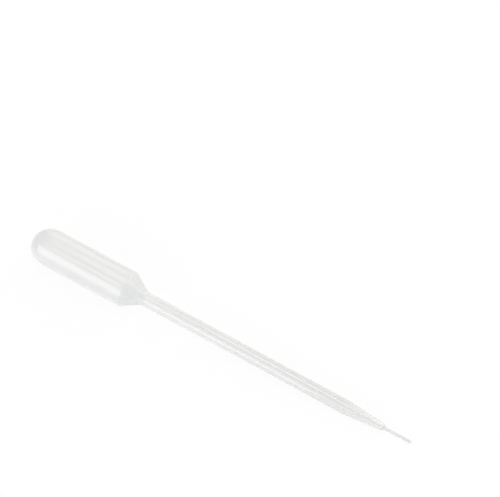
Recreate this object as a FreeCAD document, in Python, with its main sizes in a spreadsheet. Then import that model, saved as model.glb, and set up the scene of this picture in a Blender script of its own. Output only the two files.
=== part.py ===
"""One-piece blow-moulded dropper pipette: squeeze bulb, shoulder, stem, taper and fine tip.

The pipette is a skin of revolution round its own X axis, dome first and tip last, with one
cavity that follows the outside and opens through the fine tip. A fine ridge along each side
marks the plane where the mould's halves met. It is laid down as it rests on a table: on the
edge of its bulb and on the front end of its stem.
"""
import FreeCAD, Part
import math
import os
from collections import namedtuple

import Sketcher

# Every size, in millimetres or, for the angle, degrees: name, value, meaning.
SIZES = [
    ("overall_length", 150.0, "dome end to tip end"),
    ("bulb_diameter", 13.5, "outside of the squeeze bulb"),
    ("bulb_length", 38.6, "dome end to the shoulder's edge"),
    ("dome_height", 7.3, "rounded end of the bulb, a little longer than a half ball"),
    ("shoulder_angle", 31.0, "slope of the conical shoulder against the axis"),
    ("stem_diameter", 5.05, "outside of the stem"),
    ("taper_length", 13.5, "front end of the stem to the collar"),
    ("collar_diameter", 2.6, "front end of the taper"),
    ("tip_length", 11.0, "collar to tip end"),
    ("step_length", 1.2, "quick cone between the collar and the fine tip"),
    ("tip_diameter", 1.15, "outside of the fine tip"),
    ("bore_diameter", 0.58, "open bore of the fine tip"),
    ("bulb_wall", 0.45, "skin of the bulb and the shoulder"),
    ("stem_wall", 0.6, "skin of the stem and the taper"),
    ("edge_round", 1.2, "outside rounding of the shoulder's edge"),
    ("neck_round", 2.5, "hollow rounding between the shoulder and the stem"),
    ("stem_end_round", 12.0, "gentle rounding where the taper starts"),
    ("collar_round", 1.2, "rounding of the taper's front end"),
    ("root_round", 0.8, "hollow rounding at the root of the fine tip"),
    ("least_round", 0.15, "smallest rounding left where a wall takes up most of one"),
    ("seam_height", 0.05, "height of the mould's parting ridge"),
    ("seam_width", 0.2, "width of the mould's parting ridge"),
    ("cut_overrun", 1.0, "how far the cavity's cutter runs past the tip's end"),
]

# Places along the axis from the dome end, and radii, as expressions on the sheet.
COLLAR = "Sizes.overall_length - Sizes.tip_length"
STEM_END = "Sizes.overall_length - Sizes.tip_length - Sizes.taper_length"
TIP_ROOT = "Sizes.overall_length - Sizes.tip_length + Sizes.step_length"
TIP_END = "Sizes.overall_length"
BULB_RADIUS = "Sizes.bulb_diameter / 2"
STEM_RADIUS = "Sizes.stem_diameter / 2"
COLLAR_RADIUS = "Sizes.collar_diameter / 2"
TIP_RADIUS = "Sizes.tip_diameter / 2"
BORE_RADIUS = "Sizes.bore_diameter / 2"

# How far an outline lies outside the skin's outer face.
ON_THE_FACE = "0"
INSIDE_THE_BULB = "(-Sizes.bulb_wall)"
INSIDE_THE_STEM = "(-Sizes.stem_wall)"
ON_THE_RIDGE = "Sizes.seam_height"

FULL_TURN = 360
OUTLINE_STEPS = 60              # points read from each edge to find the line it rests on
START, END, CENTRE = 1, 2, 3    # the named points of a sketched line or arc
AXIS = -1                       # the sketch's own X axis, whose start is its root point

# A corner of an outline. One with no place ends the shoulder, whose angle says where it lies.
Corner = namedtuple("Corner", "place radius rounding")


def make_sheet(document):
    """Put every size on a sheet, with its meaning beside it."""
    sheet = document.addObject("Spreadsheet::Sheet", "Sizes")
    for row, (name, value, meaning) in enumerate(SIZES, start=1):
        sheet.set("A{}".format(row), meaning)
        sheet.set("B{}".format(row), str(value))
        sheet.setAlias("B{}".format(row), name)
    document.recompute()


# The outlines, as lists of corners.

def convex(rounding, offset):
    """The rounding of an outer corner, on an outline that lies offset outside the face."""
    return "max(Sizes.{} + {}; Sizes.least_round)".format(rounding, offset)


def hollow(rounding, offset):
    """The rounding of an inner corner, on an outline that lies offset outside the face."""
    return "max(Sizes.{} - {}; Sizes.least_round)".format(rounding, offset)


def body_corners(bulb_offset, stem_offset):
    """Bulb, shoulder and stem, on an outline that lies so far outside the face."""
    bulb = "{} + {}".format(BULB_RADIUS, bulb_offset)
    stem = "{} + {}".format(STEM_RADIUS, stem_offset)
    edge = "Sizes.bulb_length + {} * tan(Sizes.shoulder_angle / 2)".format(bulb_offset)
    return [
        Corner("Sizes.dome_height", bulb, None),
        Corner(edge, bulb, convex("edge_round", bulb_offset)),
        Corner(None, stem, hollow("neck_round", stem_offset)),
        Corner(STEM_END, stem, convex("stem_end_round", stem_offset)),
    ]


def outside_corners():
    return body_corners(ON_THE_FACE, ON_THE_FACE) + [
        Corner(COLLAR, COLLAR_RADIUS, "Sizes.collar_round"),
        Corner(TIP_ROOT, TIP_RADIUS, "Sizes.root_round"),
        Corner(TIP_END, TIP_RADIUS, None),
    ]


def cavity_corners():
    collar = "{} + {}".format(COLLAR_RADIUS, INSIDE_THE_STEM)
    tip_wall = "({} - {})".format(BORE_RADIUS, TIP_RADIUS)
    return body_corners(INSIDE_THE_BULB, INSIDE_THE_STEM) + [
        Corner(COLLAR, collar, convex("collar_round", INSIDE_THE_STEM)),
        Corner(TIP_ROOT, BORE_RADIUS, hollow("root_round", tip_wall)),
        Corner("{} + Sizes.cut_overrun".format(TIP_END), BORE_RADIUS, None),
    ]


def ridge_corners():
    """The ridge fades out along the taper and is gone at the collar."""
    return body_corners(ON_THE_RIDGE, ON_THE_RIDGE) + [
        Corner(COLLAR, COLLAR_RADIUS, None),
    ]


# Drawing an outline as a sketch bound to the sheet.

def amount(sketch, expression):
    """The present value of an expression, which puts new geometry about where it belongs."""
    return float(sketch.evalExpression(expression))


def rule(sketch, kind, *references):
    sketch.addConstraint(Sketcher.Constraint(kind, *references))


def dimension(sketch, kind, references, expression):
    """Add a dimension that follows an expression on the sheet."""
    value = amount(sketch, expression)
    if kind == "Angle":
        value = math.radians(value)
        expression = "{} * 1 deg".format(expression)
    index = sketch.addConstraint(Sketcher.Constraint(kind, *references, value))
    sketch.setExpression("Constraints[{}]".format(index), expression)


def add_line(sketch, first, last):
    return sketch.addGeometry(Part.LineSegment(first, last), False)


def add_arc(sketch, centre, radius, first_angle, last_angle):
    circle = Part.Circle(centre, FreeCAD.Vector(0, 0, 1), radius)
    return sketch.addGeometry(Part.ArcOfCircle(circle, first_angle, last_angle), False)


def origin_plane(body, role):
    return next(plane for plane in body.Origin.OriginFeatures if plane.Role == role)


def draw_profile(body, name, dome_end, corners):
    """Draw a closed half section above the axis: dome, lines through the corners, end, axis."""
    sketch = body.newObject("Sketcher::SketchObject", name)
    sketch.AttachmentSupport = [(origin_plane(body, "XY_Plane"), "")]
    sketch.MapMode = "FlatFace"
    lines = draw_lines(sketch, corners)
    places = round_corners(sketch, corners, lines)
    nose = draw_dome(sketch, dome_end, corners[0], lines[0])
    close_outline(sketch, nose, lines[-1])
    for corner, (item, point) in zip(corners, places):
        if corner.place is not None:
            dimension(sketch, "DistanceX", (AXIS, START, item, point), corner.place)
        dimension(sketch, "DistanceY", (AXIS, START, item, point), corner.radius)
    return sketch


def draw_lines(sketch, corners):
    """Draw straight lines from corner to corner, and give the shoulder its angle."""
    points = []
    for corner in corners:
        radius = amount(sketch, corner.radius)
        if corner.place is None:
            slope = math.tan(math.radians(amount(sketch, "Sizes.shoulder_angle")))
            place = points[-1].x + (points[-1].y - radius) / slope
        else:
            place = amount(sketch, corner.place)
        points.append(FreeCAD.Vector(place, radius, 0))
    lines = [add_line(sketch, first, last) for first, last in zip(points, points[1:])]
    for before, after in zip(lines, lines[1:]):
        rule(sketch, "Coincident", before, END, after, START)
    return lines


def round_corners(sketch, corners, lines):
    """Round each corner that has a rounding, and say where each corner's point is kept."""
    places = [(lines[0], START)]
    arcs = []
    for corner, line in zip(corners[1:], lines):
        if corner.rounding is None:
            places.append((line, END))
            continue
        arc = sketch.GeometryCount
        sketch.fillet(line, END, amount(sketch, corner.rounding), True, True)
        arcs.append((arc, corner.rounding))
        places.append((arc + 1, START))
    for arc, rounding in arcs:
        dimension(sketch, "Radius", (arc,), rounding)
    for corner, line in zip(corners[1:], lines):
        if corner.place is None:
            dimension(sketch, "Angle", (line, START, AXIS, START), "Sizes.shoulder_angle")
    return places


def draw_dome(sketch, dome_end, rim, line):
    """Round the bulb's end with two arcs that keep close to a half ellipse.

    The nose arc has the ellipse's own radius at its end, and the flank arc leads from the nose
    into the bulb's side.
    """
    end = amount(sketch, dome_end)
    rim_place = amount(sketch, rim.place)
    rim_radius = amount(sketch, rim.radius)
    height = rim_place - end
    nose_radius = rim_radius ** 2 / height
    flank_radius = (rim_radius ** 2 + height ** 2 - 2 * height * nose_radius) / 2
    flank_radius /= rim_radius - nose_radius
    nose_centre = FreeCAD.Vector(end + nose_radius, 0, 0)
    flank_centre = FreeCAD.Vector(rim_place, rim_radius - flank_radius, 0)
    towards_joint = (nose_centre - flank_centre) / (flank_radius - nose_radius)
    joint_angle = math.atan2(towards_joint.y, towards_joint.x)

    nose = add_arc(sketch, nose_centre, nose_radius, joint_angle, math.pi)
    flank = add_arc(sketch, flank_centre, flank_radius, math.pi / 2, joint_angle)
    rule(sketch, "Tangent", flank, START, line, START)
    rule(sketch, "Tangent", nose, START, flank, END)
    rule(sketch, "PointOnObject", nose, CENTRE, AXIS)
    rule(sketch, "PointOnObject", nose, END, AXIS)
    dimension(sketch, "DistanceX", (AXIS, START, nose, END), dome_end)
    nose_size = "({0})^2 / ({1} - ({2}))".format(rim.radius, rim.place, dome_end)
    dimension(sketch, "Radius", (nose,), nose_size)
    return nose


def close_outline(sketch, nose, last_line):
    """Drop from the last line to the axis, and run back along the axis to the nose."""
    rim = sketch.getPoint(last_line, END)
    foot = FreeCAD.Vector(rim.x, 0, 0)
    end_face = add_line(sketch, rim, foot)
    axis_line = add_line(sketch, foot, sketch.getPoint(nose, END))
    rule(sketch, "Coincident", last_line, END, end_face, START)
    rule(sketch, "Vertical", end_face)
    rule(sketch, "PointOnObject", end_face, END, AXIS)
    rule(sketch, "Coincident", end_face, END, axis_line, START)
    rule(sketch, "Coincident", axis_line, END, nose, END)


# Building the body.

def turn(body, kind, name, sketch):
    """Turn a profile all the way round the axis, to add or to cut."""
    feature = body.newObject(kind, name)
    feature.Profile = sketch
    feature.ReferenceAxis = (sketch, ["H_Axis"])
    feature.Angle = FULL_TURN
    sketch.Document.recompute()
    return feature


def add_ridges(body, sketch):
    """Raise the parting ridge on one side, and mirror it to the other."""
    ridge = body.newObject("PartDesign::Pad", "ridge")
    ridge.Profile = sketch
    ridge.Midplane = True
    ridge.setExpression("Length", "Sizes.seam_width")
    body.Document.recompute()
    both = body.newObject("PartDesign::Mirrored", "ridge_on_both_sides")
    both.Originals = [ridge]
    both.MirrorPlane = (origin_plane(body, "XZ_Plane"), [""])
    body.Tip = both
    body.Document.recompute()


def make_pipette(document):
    body = document.addObject("PartDesign::Body", "pipette")
    body.Label = "pipette"
    outside = draw_profile(body, "outside_profile", "0", outside_corners())
    turn(body, "PartDesign::Revolution", "outside", outside)
    ridge = draw_profile(body, "ridge_profile", "-Sizes.seam_height", ridge_corners())
    add_ridges(body, ridge)
    full_volume = body.Shape.Volume
    cavity = draw_profile(body, "cavity_profile", "Sizes.bulb_wall", cavity_corners())
    turn(body, "PartDesign::Groove", "cavity", cavity)
    if body.Shape.Volume >= full_volume:
        raise RuntimeError("the cavity was not cut")
    return body, outside


# Laying it down.

def resting_slope(outline, balance):
    """The slope of the flat that the outline rests on, found under its balance point.

    Of all straight lines between a point behind the balance point and one in front of it, the
    flat is the one that passes furthest out there.
    """
    behind = [point for point in outline if point.x < balance]
    ahead = [point for point in outline if point.x > balance]
    best = None
    for back in behind:
        for front in ahead:
            slope = (back.y - front.y) / (front.x - back.x)
            reach = back.y - slope * (balance - back.x)
            if best is None or reach > best[0]:
                best = (reach, slope)
    return best[1]


def lay_down(body, outside):
    """Tilt the pipette to its rest, and centre it over the origin with its underside at zero."""
    outline = [point for edge in outside.Shape.Edges for point in edge.discretize(OUTLINE_STEPS)]
    slope = resting_slope(outline, body.Shape.CenterOfGravity.x)
    tilt = FreeCAD.Rotation(FreeCAD.Vector(0, 1, 0), math.degrees(math.atan(slope)))
    body.Placement = FreeCAD.Placement(FreeCAD.Vector(0, 0, 0), tilt)
    box = body.Shape.optimalBoundingBox(False)
    base = FreeCAD.Vector(-box.Center.x, 0, -box.ZMin)
    body.Placement = FreeCAD.Placement(base, tilt)
    body.Document.recompute()


def check(document, body):
    """Stop if any object failed or the body is not one sound solid."""
    for item in document.Objects:
        if "Invalid" in item.State or "Error" in item.State:
            raise RuntimeError("{} failed: {}".format(item.Name, item.State))
    if body.Shape.isNull() or not body.Shape.isValid():
        raise RuntimeError("{} has no sound shape".format(body.Label))
    if len(body.Shape.Solids) != 1:
        raise RuntimeError("{} is not one solid".format(body.Label))


def main():
    document = FreeCAD.newDocument("dropper_pipette")
    make_sheet(document)
    pipette, outside = make_pipette(document)
    lay_down(pipette, outside)
    check(document, pipette)
    os.makedirs("parts", exist_ok=True)
    pipette.Shape.exportStep("parts/{}.step".format(pipette.Label))
    print("volume mm3", round(pipette.Shape.Volume, 2))
    print("placement", pipette.Placement)


main()
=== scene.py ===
"""Looks of a one-piece plastic dropper pipette, laid on a pale table under soft studio light."""

import math

import bmesh
import bpy
from mathutils import Matrix, Vector

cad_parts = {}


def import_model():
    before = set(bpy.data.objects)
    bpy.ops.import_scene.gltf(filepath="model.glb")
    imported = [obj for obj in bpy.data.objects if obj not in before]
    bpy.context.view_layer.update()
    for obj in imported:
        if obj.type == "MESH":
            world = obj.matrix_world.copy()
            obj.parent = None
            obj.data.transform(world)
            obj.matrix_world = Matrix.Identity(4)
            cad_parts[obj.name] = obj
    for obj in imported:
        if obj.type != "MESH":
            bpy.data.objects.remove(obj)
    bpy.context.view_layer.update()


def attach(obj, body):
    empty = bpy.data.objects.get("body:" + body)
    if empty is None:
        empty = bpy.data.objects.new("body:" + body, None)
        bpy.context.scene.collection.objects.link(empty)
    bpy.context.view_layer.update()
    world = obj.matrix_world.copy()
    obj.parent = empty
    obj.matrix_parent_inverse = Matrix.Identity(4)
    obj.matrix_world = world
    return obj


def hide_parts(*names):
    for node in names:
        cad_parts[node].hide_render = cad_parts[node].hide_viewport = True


MM = 0.001

# The moulding, in millimetres: places along its own axis from the dome's end, and radii.
DOME_RIM = 7.3
BULB_LENGTH = 38.6
NECK = 45.631
STEM_END = 125.5
COLLAR = 139.0
TIP_ROOT = 140.2
TIP_END = 150.0
BULB_RADIUS = 6.75
STEM_RADIUS = 2.525
COLLAR_RADIUS = 1.3
TIP_RADIUS = 0.575
BORE_RADIUS = 0.29
BULB_WALL = 0.45
STEM_WALL = 0.6

# The cavity turns in at the shoulder a little before the outside does, and reaches its neck
# a little after it.
INNER_BULB_LENGTH = BULB_LENGTH - 0.125
INNER_NECK = 45.87

# A corner of an outline: its place and radius in millimetres, and its rounding.
OUTSIDE = [
    (BULB_LENGTH, BULB_RADIUS, 1.2),
    (NECK, STEM_RADIUS, 2.5),
    (STEM_END, STEM_RADIUS, 12.0),
    (COLLAR, COLLAR_RADIUS, 1.2),
    (TIP_ROOT, TIP_RADIUS, 0.8),
    (TIP_END, TIP_RADIUS, 0.05),
]
INSIDE = [
    (TIP_END, BORE_RADIUS, 0.04),
    (TIP_ROOT, BORE_RADIUS, 1.1),
    (COLLAR, COLLAR_RADIUS - STEM_WALL, 0.6),
    (STEM_END, STEM_RADIUS - STEM_WALL, 11.4),
    (INNER_NECK, STEM_RADIUS - STEM_WALL, 3.1),
    (INNER_BULB_LENGTH, BULB_RADIUS - BULB_WALL, 0.75),
]

# The mould's parting ridge, in millimetres.
SEAM_HEIGHT = 0.05
SEAM_HALF_WIDTH = 0.1
SEAM_SLOPE = 0.03                # width of the slope at each of its edges

# Where the dome's end lies over the table, in millimetres, and the dip of the axis towards
# the tip, in degrees.
DOME_PLACE = Vector((-74.8982, 0.0, 8.6007))
DIP = 2.7818

# How finely the skin is made.
STEPS_ROUND = 192
STEPS_DOME = 24
STEPS_CORNER = 8
LONGEST_STEP = 4.0               # millimetres along a straight run
ONE_POINT = 0.0005               # millimetres within which two points are one
ON_PLANE = 0.00001               # millimetres within which a point is on the cutting plane

# The flow lines along the skin, and the finer hairlines along the drawn stem: how many lie in
# a millimetre across, and the share of that number that lies in a millimetre along the axis.
# So the flow lines are 1.1 mm apart and some 28 mm long, and the hairlines 0.45 mm apart and
# some 57 mm long. Real hairlines can be finer still, but those wouldn't show.
FLOW_LINES = 0.9
FLOW_LINES_ALONG = 0.04
HAIRLINES = 2.2
HAIRLINES_ALONG = 0.008
HAIRLINES_SHIFT = 12             # takes them from another place in the noise
LINE_RELIEF = 0.00004            # metres that the flow lines stand up

# Where the finish changes along the axis, in millimetres: it starts at the first place and is
# complete at the second. On the dome and the shoulder the change is a painted cool shade.
DOME_SHADE_CHANGE = (9.0, 6.0)
SHOULDER_SHADE_CHANGE = (37.8, 38.8)
STEM_CHANGE = (42.0, 50.0)
TIP_CHANGE = (136.0, 141.0)

WHITE = "FFFFFF"
COOL = "FDFDFF"                  # the light of the two front panels
WARM = "FFFEF8"                  # the light of the other panels

TABLE_HALF_WIDTH = 2.0           # metres
TABLE_WHITE_SHARE = 0.9          # the rest shows the shadow
ROOM_LEVEL = 0.49                # of plain white, from all round
REACH = 1.2                      # metres from the pipette to the soft panels

# The soft panels: a name, lean and arc in degrees, left and right ends in metres, brightness
# and colour. Seen from the camera, the stem and the taper would mirror the gap between the
# two panels at the back, and the taper alone the gap between the two at the front.
PANELS = [
    ("low_back_left_panel", -66, 36, -1.1, -0.265, 1.15, WARM),
    ("low_back_right_panel", -66, 36, 0.15, 0.6, 2.8, WARM),
    ("top_panel", -16, 30, -0.35, 0.4, 1.45, WARM),
    ("side_panel", -22, 60, 0.4, 1.2, 1.1, WARM),
    ("fore_panel", 23, 11, -0.35, -0.255, 2.4, WARM),
    ("front_left_panel", 66, 40, -1.4, -0.1, 1.95, COOL),
    ("front_right_panel", 66, 40, 0.25, 0.7, 2.6, COOL),
]

# The camera: what it looks at and how far away it stands, in metres, and how many degrees it
# is turned round to the right from the front and raised above the table.
CAMERA_TARGET = Vector((-0.0077, 0.0358, 0.005))
CAMERA_DISTANCE = 0.613
CAMERA_TURN = 29.6
CAMERA_RAISE = 62.0
SENSOR_WIDTH = 36.0              # millimetres
LENS = 124.704                   # millimetres


def linear(colour):
    """An sRGB hex colour such as "F4F5F2" as the linear RGBA that shaders take."""
    channels = [int(colour[place:place + 2], 16) / 255 for place in (0, 2, 4)]
    light = [c / 12.92 if c <= 0.04045 else ((c + 0.055) / 1.055) ** 2.4 for c in channels]
    return (*light, 1.0)


# ------------------------------------------------------------------ the moulding

def add_dome(shape, end, radius):
    """Spin a point from the axis up to the dome's rim, and stretch the arc to the dome's end.

    Return its points in order.
    """
    first = shape.verts.new((DOME_RIM - radius, 0.0, 0.0))
    before = set(shape.verts)
    bmesh.ops.spin(
        shape, geom=[first], cent=(DOME_RIM, 0, 0), axis=(0, 1, 0), dvec=(0, 0, 0),
        angle=math.radians(90), steps=STEPS_DOME, use_merge=False)
    points = [first] + [v for v in shape.verts if v not in before]
    points.sort(key=lambda v: v.co.x)
    bmesh.ops.scale(
        shape, vec=((DOME_RIM - end) / radius, 1, 1),
        space=Matrix.Translation((-DOME_RIM, 0, 0)), verts=points)
    return points


def add_runs(shape, start, corners):
    """Draw straight runs from a point through the corners.

    Return each corner's point with its rounding.
    """
    points = []
    for place, radius, rounding in corners:
        point = shape.verts.new((place, 0, radius))
        shape.edges.new((start, point))
        points.append((point, rounding))
        start = point
    return points


def round_off(shape, point, rounding):
    """Round a corner of the outline with an arc of that radius."""
    one, other = (edge.other_vert(point).co - point.co for edge in point.link_edges)
    turn = math.pi - one.angle(other)
    bmesh.ops.bevel(
        shape, geom=[point], offset=rounding * math.tan(turn / 2), offset_type="OFFSET",
        segments=STEPS_CORNER, profile=0.5, affect="VERTICES", material=-1)


def turned_skin():
    """The whole skin as one closed shell: outline outside, round the tip's end, back inside."""
    shape = bmesh.new()
    outer_dome = add_dome(shape, 0.0, BULB_RADIUS)
    inner_dome = add_dome(shape, BULB_WALL, BULB_RADIUS - BULB_WALL)
    corners = add_runs(shape, outer_dome[-1], OUTSIDE + INSIDE)
    last_corner = corners[-1][0]
    shape.edges.new((last_corner, inner_dome[-1]))
    for point, rounding in corners:
        round_off(shape, point, rounding)
    for edge in [e for e in shape.edges if e.calc_length() > 2 * LONGEST_STEP]:
        cuts = int(edge.calc_length() / LONGEST_STEP)
        bmesh.ops.subdivide_edges(shape, edges=[edge], cuts=cuts)
    bmesh.ops.spin(
        shape, geom=shape.verts[:] + shape.edges[:], cent=(0, 0, 0), axis=(1, 0, 0),
        dvec=(0, 0, 0), angle=math.radians(360), steps=STEPS_ROUND, use_merge=True)
    bmesh.ops.remove_doubles(shape, verts=shape.verts, dist=ONE_POINT)
    bmesh.ops.recalc_face_normals(shape, faces=shape.faces)
    return shape


def raise_seams(shape):
    """Raise the mould's parting ridge along both sides of the outside, up to the collar."""
    for height in (SEAM_HALF_WIDTH, -SEAM_HALF_WIDTH):
        bmesh.ops.bisect_plane(
            shape, geom=shape.verts[:] + shape.edges[:] + shape.faces[:], dist=ON_PLANE,
            plane_co=(0, 0, height), plane_no=(0, 0, 1))
    strip = []
    for face in shape.faces:
        middle = face.calc_center_median()
        out = face.normal.dot(Vector((middle.x - DOME_RIM, middle.y, middle.z))) > 0
        if out and middle.x < COLLAR and abs(middle.z) < SEAM_HALF_WIDTH:
            strip.append(face)
    bmesh.ops.inset_region(
        shape, faces=strip, thickness=SEAM_SLOPE, depth=SEAM_HEIGHT, use_even_offset=True)


def make_pipette(finish):
    """The pipette in its finish, as it lies on the table."""
    shape = turned_skin()
    raise_seams(shape)
    turn = Matrix.Rotation(math.radians(DIP), 4, "Y")
    place = Matrix.Scale(MM, 4) @ Matrix.Translation(DOME_PLACE) @ turn
    bmesh.ops.transform(shape, matrix=place, verts=shape.verts)
    for face in shape.faces:
        face.smooth = True
    mesh = bpy.data.meshes.new("pipette_skin")
    shape.to_mesh(mesh)
    shape.free()
    mesh.materials.append(finish)
    skin = bpy.data.objects.new("pipette_skin", mesh)
    bpy.context.scene.collection.objects.link(skin)
    return skin


# ------------------------------------------------------------------ the finishes

def add(tree, kind, settings=None, links=None):
    """Add a node, set its properties and sockets, and link other nodes' outputs into it."""
    node = tree.nodes.new(kind)
    for name, value in (settings or {}).items():
        if isinstance(name, int) or name in node.inputs:
            node.inputs[name].default_value = value
        else:
            setattr(node, name, value)
    for name, source in (links or {}).items():
        tree.links.new(source, node.inputs[name])
    return node


def new_material(name):
    """An empty material of that name, and its node tree."""
    material = bpy.data.materials.new(name)
    material.use_nodes = True
    material.node_tree.nodes.clear()
    return material, material.node_tree


def any_of_rays(tree, *kinds):
    """1 for a ray of any of those kinds, otherwise 0."""
    rays = add(tree, "ShaderNodeLightPath")
    answer = rays.outputs[kinds[0]]
    for kind in kinds[1:]:
        either = add(
            tree, "ShaderNodeMath", {"operation": "MAXIMUM"}, {0: answer, 1: rays.outputs[kind]})
        answer = either.outputs["Value"]
    return answer


def blown_polyethylene():
    """Blow-moulded natural LDPE: soft milky white, half seen through, with a waxy satin gloss.

    The plastic flowed along the mould, so faint lines run along the skin, about a millimetre
    apart and some centimetres long: there it is a little denser, duller and higher. The stem
    was drawn out of the same plastic, so it is denser than the blown bulb, its lines are
    hairlines half a millimetre apart, and it has a smoother gloss over it. The fine tip is the
    densest and darkest. The dome and the shoulder carry a painted cool shade, a touch cooler
    and darker than the bulb's side.
    """
    material, tree = new_material("natural_blow_moulded_LDPE")

    # Millimetres along the moulding's own axis, from the dome's end.
    upright = Matrix.Rotation(math.radians(-DIP), 3, "Y")
    place = add(tree, "ShaderNodeTexCoord")
    along = add(
        tree, "ShaderNodeMapping",
        {"Rotation": (0, math.radians(-DIP), 0), "Scale": (1 / MM, 1 / MM, 1 / MM),
         "Location": upright @ -DOME_PLACE},
        {"Vector": place.outputs["Object"]})
    parts = add(tree, "ShaderNodeSeparateXYZ", links={"Vector": along.outputs["Vector"]})

    # How far each part's finish has set in: the dome's towards its end, the others towards
    # the tip. On the dome and the shoulder this finish is a painted cool shade.
    dome = add(
        tree, "ShaderNodeMapRange",
        {"From Min": DOME_SHADE_CHANGE[0], "From Max": DOME_SHADE_CHANGE[1], "To Max": 0.5},
        {"Value": parts.outputs["X"]})
    shoulder = add(
        tree, "ShaderNodeMapRange",
        {"From Min": SHOULDER_SHADE_CHANGE[0], "From Max": SHOULDER_SHADE_CHANGE[1], "To Max": 0.8},
        {"Value": parts.outputs["X"]})
    drawn = add(
        tree, "ShaderNodeMapRange",
        {"From Min": STEM_CHANGE[0], "From Max": STEM_CHANGE[1]},
        {"Value": parts.outputs["X"]})
    narrow = add(
        tree, "ShaderNodeMapRange",
        {"From Min": TIP_CHANGE[0], "From Max": TIP_CHANGE[1]},
        {"Value": parts.outputs["X"]})

    # The flow lines, and the stem's hairlines.
    stretched = add(
        tree, "ShaderNodeMapping", {"Scale": (FLOW_LINES_ALONG, 1, 1)},
        {"Vector": along.outputs["Vector"]})
    flow = add(
        tree, "ShaderNodeTexNoise", {"Scale": FLOW_LINES, "Detail": 2.0, "Roughness": 0.6},
        {"Vector": stretched.outputs["Vector"]})
    lines = add(
        tree, "ShaderNodeMapRange", {"From Min": 0.3, "From Max": 0.7},
        {"Value": flow.outputs["Fac"]})
    drawn_out = add(
        tree, "ShaderNodeMapping",
        {"Scale": (HAIRLINES_ALONG, 1, 1), "Location": (HAIRLINES_SHIFT, 0, 0)},
        {"Vector": along.outputs["Vector"]})
    hairs = add(
        tree, "ShaderNodeTexNoise", {"Scale": HAIRLINES, "Detail": 1.0},
        {"Vector": drawn_out.outputs["Vector"]})
    hairlines = add(
        tree, "ShaderNodeMapRange", {"From Min": 0.38, "From Max": 0.62},
        {"Value": hairs.outputs["Fac"]})

    # The tint, with a painted cool shade on the dome and the shoulder.
    blown_tint = add(
        tree, "ShaderNodeMix",
        {"data_type": "RGBA", 6: linear("FAFAFA"), 7: linear("F0F0F0")},
        {0: lines.outputs["Result"]})
    # Painted cool shade: the dome and the shoulder a touch darker and bluer than the bulb's
    # side.
    dome_cool_shade = add(
        tree, "ShaderNodeMix",
        {"data_type": "RGBA", "blend_type": "MULTIPLY", 7: linear("FCFDFF")},
        {0: dome.outputs["Result"], 6: blown_tint.outputs[2]})
    shoulder_cool_shade = add(
        tree, "ShaderNodeMix",
        {"data_type": "RGBA", "blend_type": "MULTIPLY", 7: linear("FCFEFE")},
        {0: shoulder.outputs["Result"], 6: dome_cool_shade.outputs[2]})
    drawn_tint = add(
        tree, "ShaderNodeMix",
        {"data_type": "RGBA", 6: linear("F8F8F8"), 7: linear("ECECEC")},
        {0: hairlines.outputs["Result"]})
    wide_tint = add(
        tree, "ShaderNodeMix", {"data_type": "RGBA"},
        {0: drawn.outputs["Result"], 6: shoulder_cool_shade.outputs[2], 7: drawn_tint.outputs[2]})
    tint = add(
        tree, "ShaderNodeMix", {"data_type": "RGBA", 7: linear("EBEBEB")},
        {0: narrow.outputs["Result"], 6: wide_tint.outputs[2]})

    # How dense the plastic is to look through: the bulb, then the stem and the tip on top.
    blown_cover = add(
        tree, "ShaderNodeMapRange", {"To Min": 0.46, "To Max": 0.56},
        {"Value": lines.outputs["Result"]})
    drawn_cover = add(
        tree, "ShaderNodeMath", {"operation": "MULTIPLY_ADD", 1: 0.1},
        {0: drawn.outputs["Result"], 2: blown_cover.outputs["Result"]})
    cover = add(
        tree, "ShaderNodeMath", {"operation": "MULTIPLY_ADD", 1: 0.25},
        {0: narrow.outputs["Result"], 2: drawn_cover.outputs["Value"]})

    # The gloss.
    waxy = add(
        tree, "ShaderNodeMapRange", {"To Min": 0.1, "To Max": 0.17},
        {"Value": lines.outputs["Result"]})
    smooth = add(
        tree, "ShaderNodeMapRange", {"To Max": 0.8}, {"Value": drawn.outputs["Result"]})
    bump = add(
        tree, "ShaderNodeBump", {"Strength": 0.25, "Distance": LINE_RELIEF},
        {"Height": flow.outputs["Fac"]})
    skin = add(
        tree, "ShaderNodeBsdfPrincipled",
        {"IOR": 1.51, "Specular IOR Level": 1.0, "Coat Roughness": 0.08},
        {"Base Color": tint.outputs[2], "Roughness": waxy.outputs["Result"],
         "Alpha": cover.outputs["Value"], "Coat Weight": smooth.outputs["Result"],
         "Normal": bump.outputs["Normal"]})
    add(tree, "ShaderNodeOutputMaterial", links={"Surface": skin.outputs["BSDF"]})
    return material


def pale_table():
    """A matt white table top, nearly even white to the eye, with a faint shadow left on it."""
    material, tree = new_material("matt_white_table")
    top = add(
        tree, "ShaderNodeBsdfPrincipled",
        {"Base Color": linear(WHITE), "Roughness": 0.9, "Specular IOR Level": 0.0})
    white = add(tree, "ShaderNodeEmission", {"Color": linear(WHITE), "Strength": 1.0})
    lit = add(
        tree, "ShaderNodeMixShader", {0: TABLE_WHITE_SHARE},
        {1: top.outputs["BSDF"], 2: white.outputs["Emission"]})
    looked_at = any_of_rays(tree, "Is Camera Ray", "Is Glossy Ray", "Is Transmission Ray")
    seen = add(
        tree, "ShaderNodeMixShader",
        links={0: looked_at, 1: top.outputs["BSDF"], 2: lit.outputs["Shader"]})
    add(tree, "ShaderNodeOutputMaterial", links={"Surface": seen.outputs["Shader"]})
    return material


# ------------------------------------------------------------------ table, light and camera

def make_table():
    """The table top that the pipette lies on."""
    shape = bmesh.new()
    bmesh.ops.create_grid(shape, x_segments=1, y_segments=1, size=TABLE_HALF_WIDTH)
    mesh = bpy.data.meshes.new("table")
    shape.to_mesh(mesh)
    shape.free()
    mesh.materials.append(pale_table())
    table = bpy.data.objects.new("table", mesh)
    bpy.context.scene.collection.objects.link(table)
    return table


def look_at(thing, place, target):
    """Put a lamp or the camera in its place, facing the target."""
    thing.location = place
    thing.rotation_euler = (Vector(target) - Vector(place)).to_track_quat("-Z", "Y").to_euler()


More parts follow.
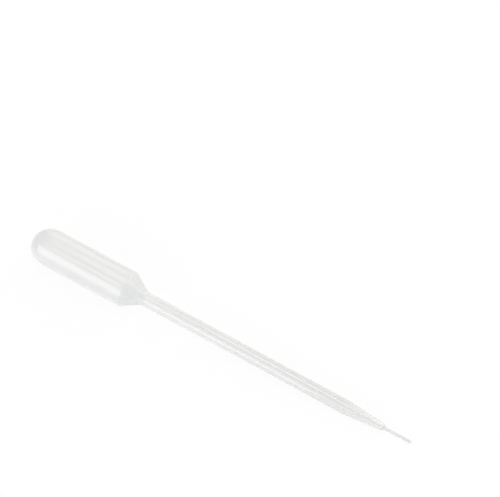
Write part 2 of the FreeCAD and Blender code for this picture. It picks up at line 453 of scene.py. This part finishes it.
def add_softbox(name, lean, arc, left, right, brightness, colour):
    """A long soft panel over the table, along the pipette, white being a brightness of 1.

    It leans so many degrees from overhead towards the front and spans so many degrees of arc,
    from left to right in metres.
    """
    lamp = bpy.data.lights.new(name, "AREA")
    lamp.shape = "RECTANGLE"
    lamp.size = right - left
    lamp.size_y = 2 * REACH * math.tan(math.radians(arc) / 2)
    lamp.energy = brightness * lamp.size * lamp.size_y * math.pi
    lamp.color = linear(colour)[:3]
    panel = bpy.data.objects.new(name, lamp)
    bpy.context.scene.collection.objects.link(panel)
    middle = (left + right) / 2
    away = Vector((0, -math.sin(math.radians(lean)), math.cos(math.radians(lean))))
    look_at(panel, Vector((middle, 0, 0)) + REACH * away, (middle, 0, 0))


def light_the_room():
    """Even light from all round, plain white where it is looked at, mirrored or seen through."""
    world = bpy.data.worlds.new("room")
    bpy.context.scene.world = world
    world.use_nodes = True
    tree = world.node_tree
    tree.nodes.clear()
    room = add(
        tree, "ShaderNodeBackground", {"Color": linear(WHITE), "Strength": ROOM_LEVEL})
    white = add(tree, "ShaderNodeBackground", {"Color": linear(WHITE), "Strength": 1.0})
    looked_at = any_of_rays(tree, "Is Camera Ray", "Is Glossy Ray", "Is Transmission Ray")
    seen = add(
        tree, "ShaderNodeMixShader",
        links={0: looked_at, 1: room.outputs["Background"], 2: white.outputs["Background"]})
    add(tree, "ShaderNodeOutputWorld", links={"Surface": seen.outputs["Shader"]})


def add_camera():
    """A long lens, looking down on the pipette from the front right."""
    lens = bpy.data.cameras.new("camera")
    lens.sensor_width = SENSOR_WIDTH
    lens.lens = LENS
    camera = bpy.data.objects.new("camera", lens)
    bpy.context.scene.collection.objects.link(camera)
    bpy.context.scene.camera = camera
    turn = math.radians(CAMERA_TURN)
    height = math.radians(CAMERA_RAISE)
    back = Vector((
        math.sin(turn) * math.cos(height),
        -math.cos(turn) * math.cos(height),
        math.sin(height)))
    look_at(camera, CAMERA_TARGET + CAMERA_DISTANCE * back, CAMERA_TARGET)


def main():
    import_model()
    pipette = make_pipette(blown_polyethylene())
    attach(pipette, "root")
    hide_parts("pipette")
    make_table()
    light_the_room()
    for panel in PANELS:
        add_softbox(*panel)
    add_camera()
    bpy.context.scene.view_settings.view_transform = "Standard"


main()
